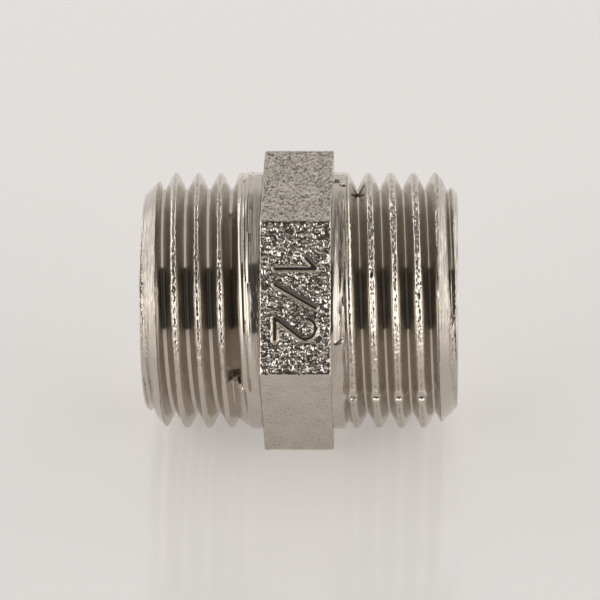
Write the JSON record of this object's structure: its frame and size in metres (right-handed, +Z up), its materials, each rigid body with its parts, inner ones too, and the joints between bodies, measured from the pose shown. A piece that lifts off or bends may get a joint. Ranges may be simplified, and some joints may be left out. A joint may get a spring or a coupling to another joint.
{
  "type": "hex nipple",
  "caption": "Short pipe nipple with a male parallel pipe thread at each end, a spanner hexagon between them and a bore right through.",
  "frame": {"origin": "on the bore's axis, halfway along the nipple", "axes": "+X along the bore, +Z up, with the nipple lying on one flat of its hexagon and corners at +Y and -Y"},
  "size_m": [0.0252, 0.0244, 0.0212],
  "materials": {
    "forged_nickel": "nickel plate over a shot-blasted forged skin, satin and grainy",
    "turned_nickel": "nickel plate over turned brass, bright, with fine turning lines"
  },
  "bodies": {
    "root": {"hex_collar": "forged_nickel", "threaded_end_left": "turned_nickel", "threaded_end_right": "turned_nickel"}
  },
  "joints": []
}
